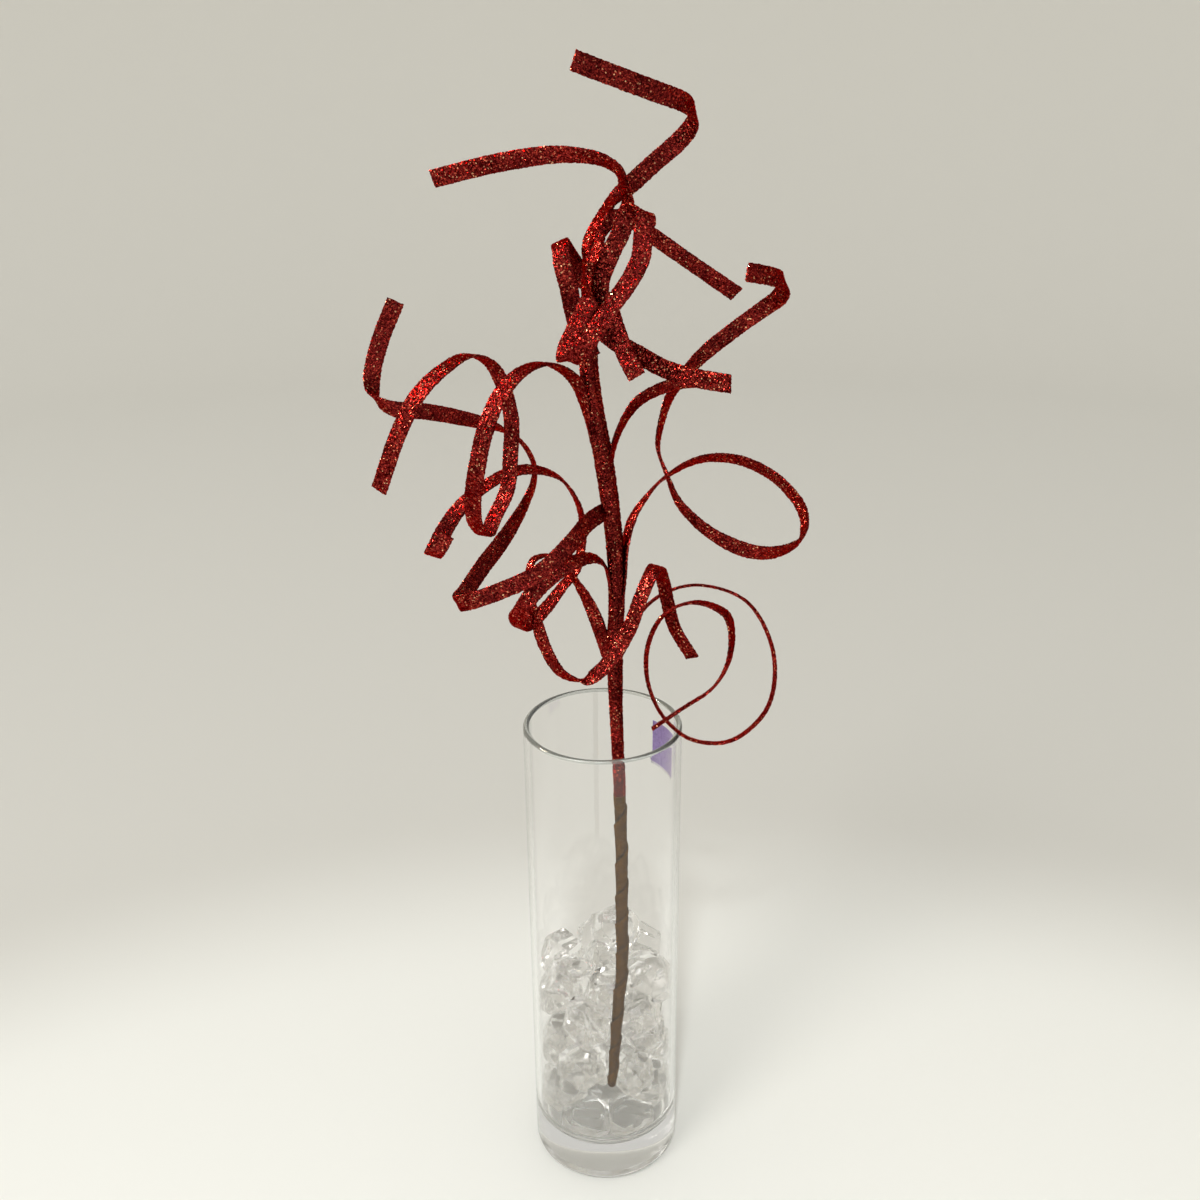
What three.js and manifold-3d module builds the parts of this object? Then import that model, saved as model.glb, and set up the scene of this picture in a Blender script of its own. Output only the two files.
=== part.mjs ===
// A spray of curled glitter strips on a taped stem, standing in a glass cylinder vase among clear ice rocks.
// Millimetres, +Z up. The origin is the middle of the vase's underside.

import * as THREE from 'three';
import { mergeVertices } from 'three/addons/utils/BufferGeometryUtils.js';
import Module from 'manifold-3d';

const wasm = await Module();
wasm.setup();

// Clearance kept between pieces that touch
const TOUCH_GAP = 0.3;

// Vase: the angles are the steps of its rounded foot and rim, in degrees. The floor curves up into the wall.
const VASE_RADIUS = 50;
const VASE_HEIGHT = 332;
const WALL = 3.6;
const FLOOR = 26;
const FOOT_ROUND = 7;
const FOOT_STEPS = [30, 60, 90];
const RIM_STEPS = [0, 60, 120, 180];
const INNER_ROUND = 14;
const INNER_STEPS = 4;
const VASE_SIDES = 48;
const BORE_RADIUS = VASE_RADIUS - WALL;

// Label on the outside of the glass
const LABEL_WIDTH = 29;
const LABEL_HEIGHT = 31;
const LABEL_THICKNESS = 0.5;
const LABEL_MIDDLE_Z = 299;
const LABEL_BEARING = THREE.MathUtils.degToRad(30);
const LABEL_STEPS = 6;

// Stem: [height, radius] from the foot to the top
const TAPE_TOP = 299;
const STEM_SIZES = [
  [78, 2.6], [92, 3.1], [130, 3.5], [190, 3.8], [299, 3.6], [346, 3.9],
  [371, 4.5], [420, 4.9], [470, 5.1], [500, 5.6], [540, 5.8], [575, 4.8], [594, 4.1],
];
const STEM_SIDES = 12;
const STEM_STEP = 15;
const STEM_END_SPACE = 4;
const STEM_SAMPLES = 200;
const STEM_ROUTE = [
  [4, -41, 78], [6, -40, 105], [8, -38, 136], [11, -36, 173], [11, -34, 214], [11, -33, 251],
  [10, -31, 299], [9, -28, 330], [8, -24, 360], [8, -20, 397], [9, -19, 425], [8, -18, 455],
  [5, -17, 484], [1, -16, 512], [-4, -15, 539], [-6, -14, 563], [-5, -13, 580], [-3, -12, 594],
];

// Strips
const STRIP_WIDTH = 9.5;
const STRIP_THICKNESS = 1.6;
const STRIP_STEP = 6.5;

// Ice rocks: layers of a ring and a middle rock, heaped up to a peak. Turns are in radians.
const ROCK_SIZE = 26;
const ROCK_LAYERS = 6;
const ROCK_LAYER_HEIGHT = 22;
const ROCK_LAYER_TURN = 0.55;
const ROCKS_IN_RING = 6;
const ROCK_RING_RADIUS = 30;
const ROCK_SHIFT = 3.5;
const ROCK_TO_STEM = 11;
const ROCK_TO_GLASS = 1;
const HEAP_TOP = 162;
const HEAP_DROP = 0.012;
const PEAK_ROCK = new THREE.Vector3(8, 6, 172);

// Facets of one rock
const FACETS = 15;
const FACET_TURN = 2.4;
const FACET_TURN_SPREAD = 0.35;
const FACET_OUT = 0.6;
const FACET_OUT_SPREAD = 2.6;
const GLASS_FACET_TURNS = [-0.6, -0.3, 0, 0.3, 0.6];

// Each strip: its route, and the directions across its width, spread evenly from its root to its tip.
const STRIPS = {
  strip_right_spiral: {
    route: [
      [8, -19, 377], [15, -12, 393], [25, -2, 409], [39, 4, 418], [59, 3, 423], [87, -4, 415],
      [104, -9, 383], [101, -14, 348], [79, -18, 328], [55, -20, 330], [37, -22, 347], [27, -25, 374],
      [28, -28, 401], [38, -31, 420], [55, -34, 427], [72, -38, 420], [74, -41, 396], [65, -44, 378],
      [46, -47, 365], [29, -50, 354],
    ],
    across: [[1, -10, 3.5], [0, -10, 4], [0, -10, 4], [-1, -10, 4], [-5.5, -10, 2], [-1, -10, 3]],
  },
  strip_low_wrap: {
    route: [
      [6, -17, 379], [-6, -15, 416], [-14, -13, 431], [-23, -14, 446], [-31, -16, 450], [-39, -20, 449],
      [-42, -22, 441], [-42, -24, 430], [-38, -27, 413], [-33, -30, 397], [-24, -34, 383],
      [-11, -38, 380], [-1, -40, 387], [6, -40, 396], [16, -42, 415], [22, -42, 433], [28, -38, 446],
      [32, -28, 447], [36, -16, 434], [39.5, -10, 416.5], [44, -8, 399.5], [55, -8, 380],
    ],
    across: [
      [8.5, -5, 1], [8.5, -5, 1], [2, -9, 3], [4, -9, 1], [8, -6, 1], [7, -7, 3], [8, -6, 0], [7, -7, 0],
      [7.5, -6, 0], [7.5, -6, 2], [7, -5.5, 3.5],
    ],
  },
  strip_mid_left_coil: {
    route: [
      [6, -18, 421], [4.5, -19, 435.5], [2, -21, 445.5], [-5, -26, 452], [-18, -36, 452],
      [-29, -43, 447], [-40, -45, 436], [-46, -40, 425], [-50, -30, 415], [-47, -18, 405],
      [-36, -4, 409], [-25, 8, 419], [-15, 16, 430], [-12, 21, 442], [-11, 22, 457], [-15, 20, 473],
      [-24.5, 17, 487], [-39, 14, 493], [-53, 12, 492], [-67, 6, 486], [-80.5, 0, 476.5],
      [-89.5, -8, 466], [-95.5, -15, 456], [-97.5, -20, 452.5], [-94, -26, 457], [-88, -28, 467.5],
    ],
    across: [
      [0, 10, 0], [-4, 9, 3], [-8, 1, 5], [-8, 7, 0], [-9, 5, 2], [-5, 8.5, 0], [-4.5, 9, 0],
      [-3, 9.5, -1], [-1, 9, 3], [-4, 8, 4], [-9.5, 1, 3], [-9.5, 1, 3],
    ],
  },
  strip_zigzag: {
    route: [
      [6, -14, 478], [-6.5, -31, 475.5], [-18, -50, 468], [-33, -58, 456], [-56, -56, 444],
      [-75.5, -50, 435], [-82, -42, 431.5], [-77, -34, 436], [-69, -22, 445], [-57, -2, 456],
      [-47.5, 14, 467.5], [-40.5, 25, 481], [-40, 29, 492], [-48, 28, 507], [-61, 24, 516],
      [-83, 14, 525], [-101, 4, 531], [-117, 0, 533.5], [-128, 6, 538], [-130.5, 13, 548],
      [-125, 16, 568], [-114, 14, 591.5],
    ],
    across: [
      [-5, 0, 8.5], [-5, 0, 8.5], [-4, 0, 9], [-4, 1, 9], [-7, 0, 7], [-5, -8, 4], [0, -10, 0],
      [0, -5, 10], [-1, -2, 10], [-9, 0, 6], [-10, 0, 1],
    ],
  },
  strip_right_loop: {
    route: [
      [11, -19, 416], [13, -18, 436], [14, -16, 455], [18, -9, 469], [26.5, 1, 479.5], [38, 12, 488],
      [60, 24, 495.5], [82, 28, 494], [101.5, 20, 487], [114, 4, 477.5], [117.5, -12, 470.5],
      [114, -26, 462], [100.5, -36, 458.5], [85, -42, 460.5], [68, -44, 468], [54, -40, 477],
      [43, -34, 488], [37, -26, 501], [32.5, -14, 513], [35.5, 0, 526.5], [42, 14, 539], [58, 24, 556],
      [77.5, 28, 571], [95.5, 22, 585.5], [100.5, 10, 592.5], [100.5, -6, 603], [89.5, -18, 608],
      [78, -26, 611],
    ],
    across: [
      [1, -10, 0], [4.5, -9, 2], [0, -8, 6], [0, -6, 8], [3, -6, 7], [0, -3.5, 9.4], [0, -7, 8],
      [-3.5, -9.5, 2], [-6, -2.5, 6], [-6, -1, 8], [0, 0, 10],
    ],
  },
  strip_left_coil: {
    route: [
      [-5, -15, 518], [-8, -16, 535], [-11, -20, 548], [-16, -28, 558], [-28, -42, 567], [-40, -56, 566],
      [-51, -66, 556], [-59, -70, 539], [-65, -66, 516], [-69, -54, 494], [-69, -44, 478.5],
      [-64.5, -34, 469.5], [-60.5, -24, 476], [-53.5, -14, 489], [-51, -8, 509], [-50, -8, 530],
      [-54, -14, 551], [-59.5, -20, 563], [-70, -28, 569], [-81, -38, 565], [-95.5, -44, 552.5],
      [-106.5, -44, 534], [-122.5, -36, 496.5],
    ],
    across: [
      [0, 10, 0], [-10, 5, 0], [-10, 5, 0], [-10, 5, 0], [-10, 5, 0], [-10, 5, 0], [-10, 5, 0],
      [-10, 5, 0], [-10, 5, 0], [-10, 5, 0], [-10, 5, 0],
    ],
  },
  strip_right_arc: {
    route: [
      [4.5, -17, 485], [6, -15, 507], [11, -10, 523], [20.5, -4, 536.5], [31.5, 0, 542.5], [44, 3, 546],
      [57, 9, 546], [69, 17, 543],
    ],
    across: [[-2, -10, 0], [-2, -6.5, 7.5], [0, -5, 9]],
  },
  strip_right_short: {
    route: [
      [-3, -8, 582], [7.5, -6, 572.5], [14.5, -8, 568.5], [23, -14, 565], [34, -24, 560.5],
      [50, -38, 558], [68, -54, 558],
    ],
    across: [[9, 0, 5], [4, 0, 9], [0, 0, 10]],
  },
  strip_crown_left_fold: {
    route: [
      [-4, -14, 565], [-11, -17, 580], [-14, -20, 592], [-16, -25, 604], [-19, -26, 616],
      [-20, -22, 623.5], [-20.5, -12, 625.5], [-17.5, 2, 619], [-13, 10, 611], [-7, 13, 601],
      [0, 12, 594], [7, 1, 591], [7, -9, 587], [10, -17, 578], [14, -24, 568], [20, -30, 557],
    ],
    across: [[10, -1, 2], [10, -1, 3], [8, -3.5, 4], [8.5, -1, 5], [8.5, -1, 5], [8.5, -1, 5]],
  },
  strip_crown_loop: {
    route: [
      [0, -13, 592], [1, -18, 606], [7, -22, 622], [12, -24, 632], [15, -27, 641], [19, -34, 644],
      [24, -42, 641.5], [22.5, -48, 633], [21, -53, 622], [15, -58, 611], [6, -60, 599], [-2, -60, 587],
      [-10, -56, 576], [-17, -48, 570], [-18, -42, 573], [-15, -38, 580], [-10, -33, 589],
      [-5, -28, 598],
    ],
    across: [[9, -3, -3], [9, -2, -4.5], [8, -4, -4.5], [8.5, -5, 0], [10, -2, 0]],
  },
  strip_crown_top: {
    route: [
      [-3, -15, 589], [-7, -21, 603], [-7, -24, 614], [-6, -22, 624], [-2.5, -16, 632], [3, -8, 640],
      [9, 4, 646], [18, 12, 653], [29.5, 17, 662.5], [43, 18, 673.5], [49.5, 11, 681.5], [50.5, -2, 689],
      [44, -14, 694], [31, -24, 698.5], [9.5, -34, 706], [-11.5, -42, 713.5],
    ],
    across: [
      [10, -5, 0], [1, -10, 0], [6, -8, 0], [4.5, -9, 0], [6, -1, -7.5], [6, 0, -7.5], [4, -2, -8.5],
      [0, 0, -10], [-3, 0, -9.5], [-3, 0, -9.5], [-3, 0, -9.5],
    ],
  },
  strip_crown_left_arc: {
    route: [
      [1, -10, 592], [1, -6, 604], [6, -1, 616], [11, 2, 627], [14, 0, 637], [16, -5, 644],
      [14, -10, 653], [10.5, -14, 661.5], [2.5, -13, 666.5], [-18, -4, 669], [-52, 14, 664.5],
      [-92, 36, 655],
    ],
    across: [
      [10, -2, 0], [10, -3, -2], [9, -4, -3], [5, -8, 0], [0, -8, 6], [2, -7, 6], [1, -5, 8.5],
      [0, -3, 10], [0, -3, 10], [0, -3, 10], [0, -3, 10],
    ],
  },
  strip_crown_right: {
    route: [
      [-3, -7, 592], [-4, -1, 603], [-2, 4, 611], [-1, 12, 620], [1, 16, 628], [5, 19, 633],
      [13, 20, 635], [22, 19, 631], [32.5, 18, 623.5], [51, 22, 610.5], [79, 32, 591],
    ],
    across: [
      [10, -2, 0], [6, -7, -1], [5, -7, -4], [1, 5, -8], [0, 4, -8.5], [-1, 5, -8], [-2, 5, -8],
      [-3, 4, -8],
    ],
  },
};

const CLEAR = { metalness: 0, transparent: true };
const material = {
  glass: new THREE.MeshStandardMaterial({ color: 0xdfe8e6, roughness: 0.04, opacity: 0.3, ...CLEAR }),
  ice: new THREE.MeshStandardMaterial({ color: 0xdedce2, roughness: 0.08, opacity: 0.6, ...CLEAR }),
  tape: new THREE.MeshStandardMaterial({ color: 0x5b4634, roughness: 0.9, metalness: 0 }),
  glitter: new THREE.MeshStandardMaterial({ color: 0x8c1411, roughness: 0.45, metalness: 0.3 }),
  label: new THREE.MeshStandardMaterial({ color: 0x6a57a8, roughness: 0.5, metalness: 0 }),
};

const model = new THREE.Group();

function addPiece(name, geometry, pieceMaterial) {
  const piece = new THREE.Mesh(geometry, pieceMaterial);
  piece.name = name;
  model.add(piece);
}

const toVectors = (points) => points.map((point) => new THREE.Vector3(...point));

// Solids for cutting

function toSolid(geometry) {
  const bare = geometry.clone();
  bare.deleteAttribute('normal');
  bare.deleteAttribute('uv');
  const merged = mergeVertices(bare, 1e-4);
  return new wasm.Manifold(new wasm.Mesh({
    numProp: 3,
    vertProperties: new Float32Array(merged.attributes.position.array),
    triVerts: new Uint32Array(merged.index.array),
  }));
}

function toGeometry(solid) {
  const mesh = solid.getMesh();
  const geometry = new THREE.BufferGeometry();
  geometry.setAttribute('position', new THREE.BufferAttribute(new Float32Array(mesh.vertProperties), 3));
  geometry.setIndex(new THREE.BufferAttribute(new Uint32Array(mesh.triVerts), 1));
  return geometry;
}

function largestPart(solid) {
  return solid.decompose().sort((a, b) => b.volume() - a.volume())[0];
}

// Vase: one turned profile, with a thick floor, a rounded foot and a rounded rim

function makeVase() {
  const profile = [new THREE.Vector2(0, 0), new THREE.Vector2(VASE_RADIUS - FOOT_ROUND, 0)];
  for (const angle of FOOT_STEPS) {
    const turn = THREE.MathUtils.degToRad(angle);
    const x = VASE_RADIUS - FOOT_ROUND * (1 - Math.sin(turn));
    profile.push(new THREE.Vector2(x, FOOT_ROUND * (1 - Math.cos(turn))));
  }
  const rimRound = WALL / 2;
  const rimRadius = VASE_RADIUS - rimRound;
  for (const angle of RIM_STEPS) {
    const turn = THREE.MathUtils.degToRad(angle);
    const z = VASE_HEIGHT - rimRound + rimRound * Math.sin(turn);
    profile.push(new THREE.Vector2(rimRadius + rimRound * Math.cos(turn), z));
  }
  for (let i = 0; i <= INNER_STEPS; i += 1) {
    const turn = (i / INNER_STEPS) * (Math.PI / 2);
    const x = BORE_RADIUS - INNER_ROUND * (1 - Math.cos(turn));
    profile.push(new THREE.Vector2(x, FLOOR + INNER_ROUND * (1 - Math.sin(turn))));
  }
  profile.push(new THREE.Vector2(0, FLOOR));
  return new THREE.LatheGeometry(profile, VASE_SIDES).rotateX(Math.PI / 2);
}

addPiece('vase', makeVase(), material.glass);

// Label: a thin plate that follows the glass

function makeLabel() {
  const inner = VASE_RADIUS + TOUCH_GAP;
  const outer = inner + LABEL_THICKNESS;
  const half = LABEL_WIDTH / inner / 2;
  const outline = new THREE.Shape();
  outline.absarc(0, 0, outer, LABEL_BEARING - half, LABEL_BEARING + half, false);
  outline.absarc(0, 0, inner, LABEL_BEARING + half, LABEL_BEARING - half, true);
  const plate = new THREE.ExtrudeGeometry(outline, {
    depth: LABEL_HEIGHT, bevelEnabled: false, curveSegments: LABEL_STEPS,
  });
  return plate.translate(0, 0, LABEL_MIDDLE_Z - LABEL_HEIGHT / 2);
}

addPiece('label', makeLabel(), material.label);

// Stem: one route, swept as a taped length and a glittered length

const FOOT_Z = STEM_SIZES[0][0];
const STEM_TOP = STEM_SIZES[STEM_SIZES.length - 1][0];

function stemRadius(height) {
  const z = THREE.MathUtils.clamp(height, FOOT_Z, STEM_TOP);
  const next = STEM_SIZES.findIndex(([sizeZ]) => sizeZ >= z) || 1;
  const [lowZ, lowRadius] = STEM_SIZES[next - 1];
  const [highZ, highRadius] = STEM_SIZES[next];
  return THREE.MathUtils.mapLinear(z, lowZ, highZ, lowRadius, highRadius);
}

const nearestInHeight = (points, z) => points.reduce(
  (best, point) => (Math.abs(point.z - z) < Math.abs(best.z - z) ? point : best),
);

class UprightPath extends THREE.CatmullRomCurve3 {
  // Every section of the stem stays level, so that the two lengths meet on flat faces.
  computeFrenetFrames(segments) {
    const repeat = (vector) => Array.from({ length: segments + 1 }, () => vector.clone());
    return {
      tangents: repeat(new THREE.Vector3(0, 0, 1)),
      normals: repeat(new THREE.Vector3(1, 0, 0)),
      binormals: repeat(new THREE.Vector3(0, 1, 0)),
    };
  }
}

const stemRoute = toVectors(STEM_ROUTE);
const stemCurve = new THREE.CatmullRomCurve3(stemRoute, false, 'centripetal');
const stemLine = stemCurve.getSpacedPoints(STEM_SAMPLES);
const stemCentre = (z) => nearestInHeight(stemLine, z).clone().setZ(z);

function makeStem(fromZ, toZ, extra) {
  const lowest = fromZ + STEM_END_SPACE;
  const highest = toZ - STEM_END_SPACE;
  const between = stemRoute.filter((point) => point.z > lowest && point.z < highest);
  const path = new UprightPath([stemCentre(fromZ), ...between, stemCentre(toZ)], false, 'centripetal');
  const section = new THREE.Shape();
  section.absarc(0, 0, 1, 0, Math.PI * 2, false);
  const steps = Math.round((toZ - fromZ) / STEM_STEP);
  const geometry = new THREE.ExtrudeGeometry(section, {
    steps, extrudePath: path, curveSegments: STEM_SIDES,
  });
  const centres = path.getSpacedPoints(steps);
  const position = geometry.attributes.position;
  for (let i = 0; i < position.count; i += 1) {
    const z = position.getZ(i);
    const centre = nearestInHeight(centres, z);
    const radius = stemRadius(z) + extra;
    position.setX(i, centre.x + (position.getX(i) - centre.x) * radius);
    position.setY(i, centre.y + (position.getY(i) - centre.y) * radius);
  }
  return geometry;
}

addPiece('stem_taped', makeStem(FOOT_Z, TAPE_TOP, 0), material.tape);
addPiece('stem_glittered', makeStem(TAPE_TOP + TOUCH_GAP, STEM_TOP, 0), material.glitter);
const stemCutter = toSolid(makeStem(TAPE_TOP, STEM_TOP + TOUCH_GAP, TOUCH_GAP));

// Strips: flat ribbons, each laid across its own chosen directions

class StripPath extends THREE.CatmullRomCurve3 {
  constructor(points, across) {
    super(points, false, 'centripetal');
    this.across = across;
  }

  acrossAt(t) {
    const last = this.across.length - 1;
    const index = Math.floor(t * last);
    const low = this.across[index].clone().normalize();
    const high = this.across[Math.min(index + 1, last)].clone().normalize();
    return low.lerp(high, t * last - index);
  }

  computeFrenetFrames(segments) {
    const tangents = [];
    const normals = [];
    const binormals = [];
    for (let i = 0; i <= segments; i += 1) {
      const tangent = this.getTangentAt(i / segments);
      const binormal = this.acrossAt(i / segments);
      binormal.addScaledVector(tangent, -binormal.dot(tangent)).normalize();
      tangents.push(tangent);
      binormals.push(binormal);
      normals.push(binormal.clone().cross(tangent));
    }
    return { tangents, normals, binormals };
  }
}

function makeStrip({ route, across }, extra) {
  const path = new StripPath(toVectors(route), toVectors(across));
  const halfThick = STRIP_THICKNESS / 2 + extra;
  const halfWide = STRIP_WIDTH / 2 + extra;
  const section = new THREE.Shape();
  section.moveTo(-halfThick, -halfWide);
  section.lineTo(halfThick, -halfWide);
  section.lineTo(halfThick, halfWide);
  section.lineTo(-halfThick, halfWide);
  const steps = Math.round(path.getLength() / STRIP_STEP);
  return new THREE.ExtrudeGeometry(section, { steps, extrudePath: path });
}

for (const [name, strip] of Object.entries(STRIPS)) {
  const solid = largestPart(toSolid(makeStrip(strip, 0)).subtract(stemCutter));
  addPiece(name, toGeometry(solid), material.glitter);
}

// Ice rocks: faceted lumps that share out the bottom of the vase, heaped against the stem

const RANDOM_STEP = 16807;
const RANDOM_LIMIT = 2147483647;
let seed = 7;

function random() {
  seed = (seed * RANDOM_STEP) % RANDOM_LIMIT;
  return seed / RANDOM_LIMIT;
}

const spread = (amount) => (random() * 2 - 1) * amount;

function rockCentres() {
  const centres = [PEAK_ROCK];
  for (let layer = 0; layer < ROCK_LAYERS; layer += 1) {
    const z = FLOOR + ROCK_LAYER_HEIGHT * (layer + 0.5);
    for (let i = 0; i <= ROCKS_IN_RING; i += 1) {
      const bearing = (i / ROCKS_IN_RING) * Math.PI * 2 + layer * ROCK_LAYER_TURN;
      const radius = i < ROCKS_IN_RING ? ROCK_RING_RADIUS : 0;
      const centre = new THREE.Vector3(Math.cos(bearing) * radius, Math.sin(bearing) * radius, z);
      centre.add(new THREE.Vector3(spread(ROCK_SHIFT), spread(ROCK_SHIFT), spread(ROCK_SHIFT)));
      const toStem = centre.distanceTo(stemCentre(centre.z));
      const inHeap = centre.z < HEAP_TOP - HEAP_DROP * (centre.x ** 2 + centre.y ** 2);
      if (inHeap && toStem > ROCK_TO_STEM) centres.push(centre);
    }
  }
  return centres;
}

function makeRock(centre, others) {
  const block = new THREE.BoxGeometry(2 * ROCK_SIZE, 2 * ROCK_SIZE, 2 * ROCK_SIZE);
  let rock = toSolid(block).translate(centre.toArray());
  const keepWithin = (outward, distance) => {
    rock = rock.trimByPlane(outward.clone().negate().toArray(), -outward.dot(centre) - distance);
  };
  for (const other of others) {
    const between = other.clone().sub(centre);
    const middle = between.length() / 2 - TOUCH_GAP / 2;
    if (middle < ROCK_SIZE) keepWithin(between.normalize(), middle);
  }
  for (let i = 0; i < FACETS; i += 1) {
    const up = 1 - (2 * i + 1) / FACETS;
    const level = Math.sqrt(1 - up * up);
    const bearing = i * FACET_TURN + spread(FACET_TURN_SPREAD);
    const outward = new THREE.Vector3(level * Math.cos(bearing), level * Math.sin(bearing), up);
    keepWithin(outward, ROCK_SIZE / 2 + FACET_OUT + random() * FACET_OUT_SPREAD);
  }
  const bearing = Math.atan2(centre.y, centre.x);
  for (const turn of GLASS_FACET_TURNS) {
    const level = new THREE.Vector3(Math.cos(bearing + turn), Math.sin(bearing + turn), 0);
    keepWithin(level, BORE_RADIUS - ROCK_TO_GLASS - level.dot(centre));
    const corner = level.clone().multiplyScalar(BORE_RADIUS - INNER_ROUND).setZ(FLOOR + INNER_ROUND);
    const reach = INNER_ROUND * Math.cos(Math.PI / 4 / INNER_STEPS) - ROCK_TO_GLASS;
    for (let i = 0; i < INNER_STEPS; i += 1) {
      const dip = ((i + 0.5) / INNER_STEPS) * (Math.PI / 2);
      const outward = level.clone().multiplyScalar(Math.cos(dip)).setZ(-Math.sin(dip));
      keepWithin(outward, outward.dot(corner) + reach - outward.dot(centre));
    }
  }
  keepWithin(new THREE.Vector3(0, 0, -1), centre.z - FLOOR - TOUCH_GAP);
  if (centre.z + ROCK_SIZE / 2 > FOOT_Z) {
    for (const z of [centre.z - ROCK_SIZE / 2, centre.z + ROCK_SIZE / 2]) {
      const toStem = stemCentre(z).sub(centre).setZ(0);
      const distance = toStem.length() - stemRadius(z) - 2 * TOUCH_GAP;
      keepWithin(toStem.normalize(), distance);
    }
  }
  return toGeometry(rock);
}

const centres = rockCentres();
centres.forEach((centre, index) => {
  const others = centres.filter((other) => other !== centre);
  const name = `ice_rock_${String(index + 1).padStart(2, '0')}`;
  addPiece(name, makeRock(centre, others), material.ice);
});

export default model;
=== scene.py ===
# %% [markdown]
# # A curled glitter spray in a glass vase
#
# A spray of flat, curled strips is coated in red glitter. Its stem, wrapped in brown tape, stands among
# clear ice rocks in a tall glass cylinder vase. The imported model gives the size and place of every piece,
# and this script gives each one its fine shape and its finish. Everything is in metres, with +Z up, and the
# origin is the middle of the vase's underside.

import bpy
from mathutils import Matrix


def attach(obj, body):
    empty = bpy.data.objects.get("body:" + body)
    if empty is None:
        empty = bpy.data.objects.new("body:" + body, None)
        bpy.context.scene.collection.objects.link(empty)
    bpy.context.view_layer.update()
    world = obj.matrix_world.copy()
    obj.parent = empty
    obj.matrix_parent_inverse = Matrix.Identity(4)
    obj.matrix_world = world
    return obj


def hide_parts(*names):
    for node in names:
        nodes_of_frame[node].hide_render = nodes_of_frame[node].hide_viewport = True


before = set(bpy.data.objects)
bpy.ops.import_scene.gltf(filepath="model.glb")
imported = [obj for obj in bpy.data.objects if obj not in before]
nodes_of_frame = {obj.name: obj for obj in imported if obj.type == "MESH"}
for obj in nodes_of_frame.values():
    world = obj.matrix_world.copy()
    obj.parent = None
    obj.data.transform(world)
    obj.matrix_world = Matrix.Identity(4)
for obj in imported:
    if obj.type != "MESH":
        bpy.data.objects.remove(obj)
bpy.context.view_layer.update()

# %% Tools and units
import math
import random

import bmesh
import bpy
from mathutils import Matrix, Vector, noise

MM = 0.001
MERGE = 0.01 * MM
BODY = "root"
scene = bpy.context.scene
print(len(nodes_of_frame), "solids in the frame")

# %% [markdown]
# ## Camera
#
# The camera looks slightly down on the vase from the front, from about the height of the spray's top. It
# could be aimed with a constraint, but written out as a place and a turn it stays exactly where it is.

# %% Camera
CAMERA_PLACE = Vector((-0.0009, -0.6954, 0.7002))
CAMERA_PITCH = math.radians(67.71)
CAMERA_ROLL = math.radians(-0.52)

camera = bpy.data.objects.new("camera", bpy.data.cameras.new("camera"))
camera.data.lens = 37.35
camera.data.sensor_width = 36
camera.data.clip_start = 0.01
camera.data.clip_end = 50
turn = Matrix.Rotation(CAMERA_PITCH, 4, "X") @ Matrix.Rotation(CAMERA_ROLL, 4, "Z")
camera.matrix_world = Matrix.Translation(CAMERA_PLACE) @ turn
scene.collection.objects.link(camera)
scene.camera = camera
print("camera at", tuple(round(x, 3) for x in camera.location))

# %% [markdown]
# ## Helpers for pieces
#
# Each piece is shaped in a bmesh and then becomes an object that rides on the part's one body. This could
# be written out for each piece, but one helper does it for all of them, so that no piece misses its finish
# or the solid that it stands for.

# %% Helpers for pieces
def add_piece(name, shape, finish, replaced, smooth):
    """An object made from a shape, which stands for the solids that it replaces."""
    mesh = bpy.data.meshes.new(name)
    shape.to_mesh(mesh)
    shape.free()
    mesh.materials.append(finish)
    if smooth:
        mesh.shade_smooth()
    piece = bpy.data.objects.new(name, mesh)
    scene.collection.objects.link(piece)
    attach(piece, BODY)
    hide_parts(*replaced)
    return piece


def triangles(piece):
    return sum(len(face.vertices) - 2 for face in piece.data.polygons)


# %% [markdown]
# ## Helpers for finishes
#
# Every finish is a Principled shader fed by a few procedural nodes. These helpers start one, join nodes to
# it, and make the two nodes that most finishes need: a colour ramp and a bump.

# %% Helpers for finishes
class Finish:
    def __init__(self, name, **settings):
        self.material = bpy.data.materials.new(name)
        self.material.use_nodes = True
        self.tree = self.material.node_tree
        self.shader = self.tree.nodes["Principled BSDF"]
        for socket, value in settings.items():
            self.shader.inputs[socket.replace("_", " ")].default_value = value
        self.place = self.node("TexCoord").outputs["Object"]

    def node(self, kind, **values):
        made = self.tree.nodes.new("ShaderNode" + kind)
        for name, value in values.items():
            socket = made.inputs.get(name.replace("_", " "))
            if socket is not None and hasattr(socket, "default_value"):
                socket.default_value = value
            else:
                setattr(made, name, value)
        return made

    def join(self, source, target):
        self.tree.links.new(source, target)

    def texture(self, kind, **values):
        made = self.node(kind, **values)
        self.join(self.place, made.inputs["Vector"])
        return made

    def ramp(self, source, stops):
        made = self.node("ValToRGB")
        elements = made.color_ramp.elements
        while len(elements) < len(stops):
            elements.new(0.5)
        for element, (position, colour) in zip(elements, stops):
            element.position = position
            element.color = (*colour, 1)
        self.join(source, made.inputs["Fac"])
        return made.outputs["Color"]

    def bump(self, height, strength, distance):
        made = self.node("Bump", Strength=strength, Distance=distance)
        self.join(height, made.inputs["Height"])
        return made.outputs["Normal"]


# %% [markdown]
# ## Red glitter
#
# Glitter is thousands of small flat foil flakes, each tilted its own way. A bump would only ripple the
# light, so here each cell of a Voronoi pattern is one flake: its random colour picks a red from a ramp, and
# tilts the normal, so that single flakes flash as the view or the light turns. The rarest flakes are pale
# gold, painted glints that stand in for the brightest sparkles. A soft noise makes whole patches darker or
# lighter. The stem's coat is the same, a shade darker.

# %% Red glitter
FLAKE = 0.7 * MM
FLAKE_TILT = 0.65


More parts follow.
